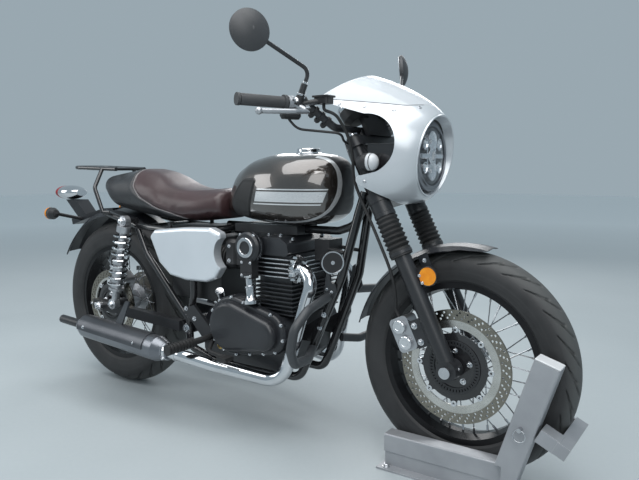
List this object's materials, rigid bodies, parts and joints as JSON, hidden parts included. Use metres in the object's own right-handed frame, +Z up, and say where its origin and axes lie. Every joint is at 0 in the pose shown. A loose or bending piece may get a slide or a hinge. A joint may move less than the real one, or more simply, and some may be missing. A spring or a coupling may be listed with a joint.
{
  "type": "cafe racer motorcycle in a wheel chock",
  "caption": "Upright cafe racer motorcycle with a round-lamp cowl, wire wheels, twin shocks and luggage rack, its front wheel held in a floor wheel chock.",
  "frame": {"origin": "on the floor under the middle of the machine's length and width", "axes": "+X ahead, +Y to the rider's left, +Z up"},
  "size_m": [2.2165, 0.9366, 1.2758],
  "materials": {
    "chock_grey": "satin",
    "pearl_silver": "gloss",
    "screen_white": "gloss",
    "tank_brown": "gloss",
    "black_paint": "satin",
    "engine_black": "satin",
    "alloy": "satin",
    "chrome": "polished",
    "satin_silver": "satin",
    "rubber": "matte",
    "tyre": "matte",
    "black_plastic": "matte",
    "lens_clear": "polished",
    "lens_red": "gloss",
    "lens_amber": "gloss",
    "disc_steel": "brushed",
    "chain_steel": "satin",
    "seat_cover": "matte"
  },
  "bodies": {
    "front_end": {"chock_base": "chock_grey", "chock_upright": "chock_grey", "chock_cross_bar": "chock_grey", "front_axle": "alloy", "fork_sliders": "black_paint", "fork_gaiters": "rubber", "fork_yokes": "black_paint", "front_fender": "black_paint", "front_reflectors": "lens_amber", "front_caliper": "alloy", "fairing": "pearl_silver", "windscreen": "screen_white", "headlamp": "black_plastic", "headlamp_lens": "lens_clear", "handlebar": "chrome", "grips": "rubber", "levers": "alloy", "mirrors": "black_paint", "instruments": "black_plastic", "front_signals": "black_plastic", "front_brake_hose": "rubber", "control_cables": "rubber"},
    "main_frame": {"frame_tubes": "black_paint", "crankcase": "engine_black", "cylinders": "engine_black", "bevel_drive": "chrome", "intake": "black_plastic", "exhaust_pipes": "chrome", "mufflers": "satin_silver", "fuel_tank": "tank_brown", "knee_pads": "rubber", "seat": "seat_cover", "side_covers": "satin_silver", "rear_fender": "black_paint", "tail_lamp": "chrome", "tail_lens": "lens_red", "rear_signals": "black_plastic", "luggage_rack": "chrome", "swingarm": "black_paint", "rear_axle": "alloy", "shock_absorbers": "black_paint", "shock_springs": "black_paint", "rear_caliper": "alloy", "drive_chain": "chain_steel", "chain_guard": "black_plastic", "footrests": "rubber", "engine_guards": "black_paint", "front_electrics": "black_plastic"},
    "stand_leg": {"side_stand": "black_paint"},
    "front_wheel": {"front_tyre": "tyre", "front_rim": "black_paint", "front_spokes": "disc_steel", "front_hub": "engine_black", "front_disc": "disc_steel"},
    "rear_wheel": {"rear_tyre": "tyre", "rear_rim": "black_paint", "rear_spokes": "disc_steel", "rear_hub": "engine_black", "rear_disc": "disc_steel", "rear_sprocket": "chain_steel"}
  },
  "joints": [
    {"name": "steering", "type": "hinge", "parent": "front_end", "child": "main_frame", "pos_m": [0.47254, 0, 0.84007], "axis": [-0.4384, 0, 0.8988], "range_deg": [-36, 36]},
    {"name": "front_wheel_turn", "type": "hinge", "parent": "front_end", "child": "front_wheel", "pos_m": [0.785, 0, 0.3249], "axis": [0, 1, 0], "continuous": true},
    {"name": "rear_wheel_turn", "type": "hinge", "parent": "main_frame", "child": "rear_wheel", "pos_m": [-0.68, 0, 0.3326], "axis": [0, 1, 0], "continuous": true},
    {"name": "side_stand_swing", "type": "hinge", "parent": "main_frame", "child": "stand_leg", "pos_m": [-0.04, 0.112, 0.214], "axis": [0, -0.8238, -0.5669], "range_deg": [0, 100], "stiffness_Nm_per_rad": 1.2, "springref_deg": -57.3}
  ]
}
